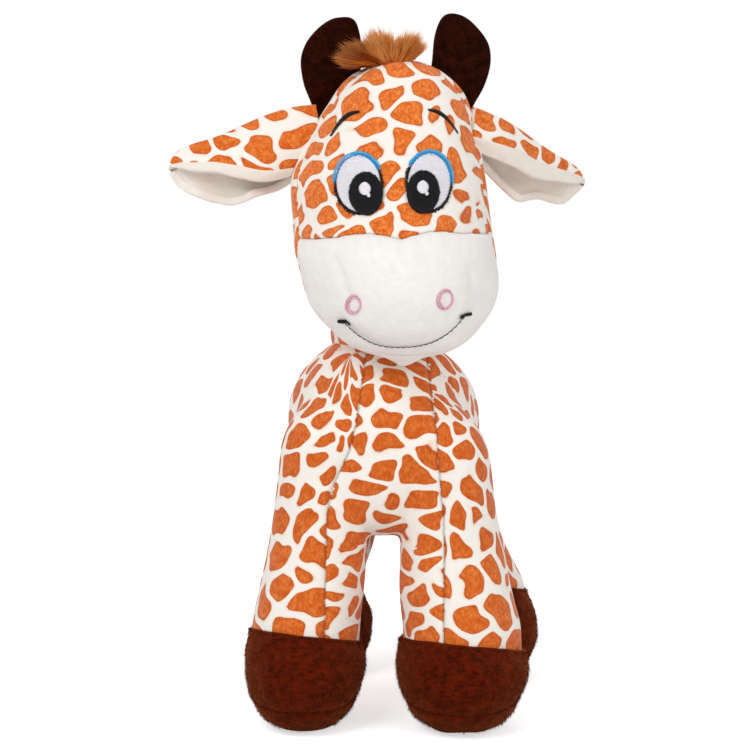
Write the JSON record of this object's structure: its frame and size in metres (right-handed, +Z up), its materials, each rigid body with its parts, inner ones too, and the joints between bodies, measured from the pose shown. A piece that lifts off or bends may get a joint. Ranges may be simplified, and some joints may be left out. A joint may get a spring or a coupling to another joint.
{
  "type": "plush giraffe",
  "caption": "Standing plush giraffe with a big head, embroidered face, folded ears, horns, crown tuft, four stuffed legs and a hanging tail.",
  "frame": {"origin": "middle of the toy's box, on the floor under its four soles", "axes": "+Z up, the face and chest look along -Y, the toy's own left side is +X"},
  "size_m": [0.2138, 0.2008, 0.3544],
  "materials": {
    "printed_cloth": "short pile, brown spots on off-white",
    "white_plush": "short plush",
    "brown_plush": "short plush",
    "horn_cloth": "flat short pile",
    "fur": "long faux fur",
    "fibre": "loose polyester fibre",
    "white_thread": "satin stitch",
    "black_thread": "satin stitch",
    "blue_thread": "satin stitch",
    "pink_thread": "satin stitch"
  },
  "bodies": {
    "body": {"body_stuffing": "fibre", "chest_panel": "printed_cloth", "belly_panel": "printed_cloth", "left_body_panel": "printed_cloth", "right_body_panel": "printed_cloth"},
    "neck": {"neck_stuffing": "fibre", "neck_cloth": "printed_cloth"},
    "head": {"head_stuffing": "fibre", "face_panel": "printed_cloth", "muzzle_cover": "white_plush", "left_head_panel": "printed_cloth", "right_head_panel": "printed_cloth", "head_back_panel": "printed_cloth", "chin_panel": "white_plush", "mouth": "black_thread", "crown_tuft": "fur", "left_eye_white": "white_thread", "left_eye_outline": "black_thread", "left_eyelid": "blue_thread", "left_pupil": "black_thread", "left_eye_glint": "white_thread", "left_brow": "black_thread", "left_nostril": "pink_thread", "right_eye_white": "white_thread", "right_eye_outline": "black_thread", "right_eyelid": "blue_thread", "right_pupil": "black_thread", "right_eye_glint": "white_thread", "right_brow": "black_thread", "right_nostril": "pink_thread"},
    "left_ear": {"left_ear_back": "printed_cloth", "left_ear_lining": "white_plush"},
    "left_horn": {"left_horn_front": "horn_cloth", "left_horn_back": "horn_cloth"},
    "right_ear": {"right_ear_back": "printed_cloth", "right_ear_lining": "white_plush"},
    "right_horn": {"right_horn_front": "horn_cloth", "right_horn_back": "horn_cloth"},
    "front_left_leg": {"front_left_leg_stuffing": "fibre", "front_left_leg_outer_panel": "printed_cloth", "front_left_leg_inner_panel": "printed_cloth", "front_left_foot_cover": "brown_plush", "front_left_sole": "brown_plush"},
    "front_right_leg": {"front_right_leg_stuffing": "fibre", "front_right_leg_outer_panel": "printed_cloth", "front_right_leg_inner_panel": "printed_cloth", "front_right_foot_cover": "brown_plush", "front_right_sole": "brown_plush"},
    "hind_left_leg": {"hind_left_leg_stuffing": "fibre", "hind_left_leg_outer_panel": "printed_cloth", "hind_left_leg_inner_panel": "printed_cloth", "hind_left_foot_cover": "brown_plush", "hind_left_sole": "brown_plush"},
    "hind_right_leg": {"hind_right_leg_stuffing": "fibre", "hind_right_leg_outer_panel": "printed_cloth", "hind_right_leg_inner_panel": "printed_cloth", "hind_right_foot_cover": "brown_plush", "hind_right_sole": "brown_plush"},
    "tail": {"tail": "printed_cloth", "tail_tuft": "fur"}
  },
  "joints": [
    {"name": "neck_turn", "type": "hinge", "parent": "body", "child": "neck", "pos_m": [0.00485, -0.01788, 0.196], "axis": [0, 0, 1], "range_deg": [-25, 25], "stiffness_Nm_per_rad": 1.2},
    {"name": "head_nod", "type": "hinge", "parent": "neck", "child": "head", "pos_m": [0.00485, -0.01788, 0.196], "axis": [0.9962, 0.0872, 0], "range_deg": [-6, 8], "stiffness_Nm_per_rad": 1.2},
    {"name": "left_ear_flap", "type": "hinge", "parent": "head", "child": "left_ear", "pos_m": [0.0578, -0.01269, 0.28631], "axis": [0.4636, -0.849, -0.2533], "range_deg": [-15, 15], "stiffness_Nm_per_rad": 0.1},
    {"name": "right_ear_flap", "type": "hinge", "parent": "head", "child": "right_ear", "pos_m": [-0.04798, -0.02529, 0.28498], "axis": [-0.0869, 0.9931, 0.0785], "range_deg": [-15, 15], "stiffness_Nm_per_rad": 0.1},
    {"name": "left_horn_bend", "type": "hinge", "parent": "head", "child": "left_horn", "pos_m": [0.03471, -0.00133, 0.30879], "axis": [0.5556, 0.1137, -0.8236], "range_deg": [-12, 12], "stiffness_Nm_per_rad": 0.05},
    {"name": "right_horn_bend", "type": "hinge", "parent": "head", "child": "right_horn", "pos_m": [-0.02722, -0.00662, 0.30717], "axis": [0.5233, -0.0215, 0.8519], "range_deg": [-12, 12], "stiffness_Nm_per_rad": 0.05},
    {"name": "front_left_hip_swing", "type": "hinge", "parent": "body", "child": "front_left_leg", "pos_m": [0.03785, -0.05088, 0.124], "axis": [1, 0, 0], "range_deg": [-10, 10], "stiffness_Nm_per_rad": 1},
    {"name": "front_right_hip_swing", "type": "hinge", "parent": "body", "child": "front_right_leg", "pos_m": [-0.02815, -0.05088, 0.124], "axis": [1, 0, 0], "range_deg": [-10, 10], "stiffness_Nm_per_rad": 1},
    {"name": "hind_left_hip_swing", "type": "hinge", "parent": "body", "child": "hind_left_leg", "pos_m": [0.04085, 0.06212, 0.124], "axis": [1, 0, 0], "range_deg": [-10, 10], "stiffness_Nm_per_rad": 1},
    {"name": "hind_right_hip_swing", "type": "hinge", "parent": "body", "child": "hind_right_leg", "pos_m": [-0.03115, 0.06212, 0.124], "axis": [1, 0, 0], "range_deg": [-10, 10], "stiffness_Nm_per_rad": 1},
    {"name": "tail_lift", "type": "hinge", "parent": "body", "child": "tail", "pos_m": [0.00485, 0.09292, 0.141], "axis": [1, 0, 0], "range_deg": [0, 75]}
  ]
}
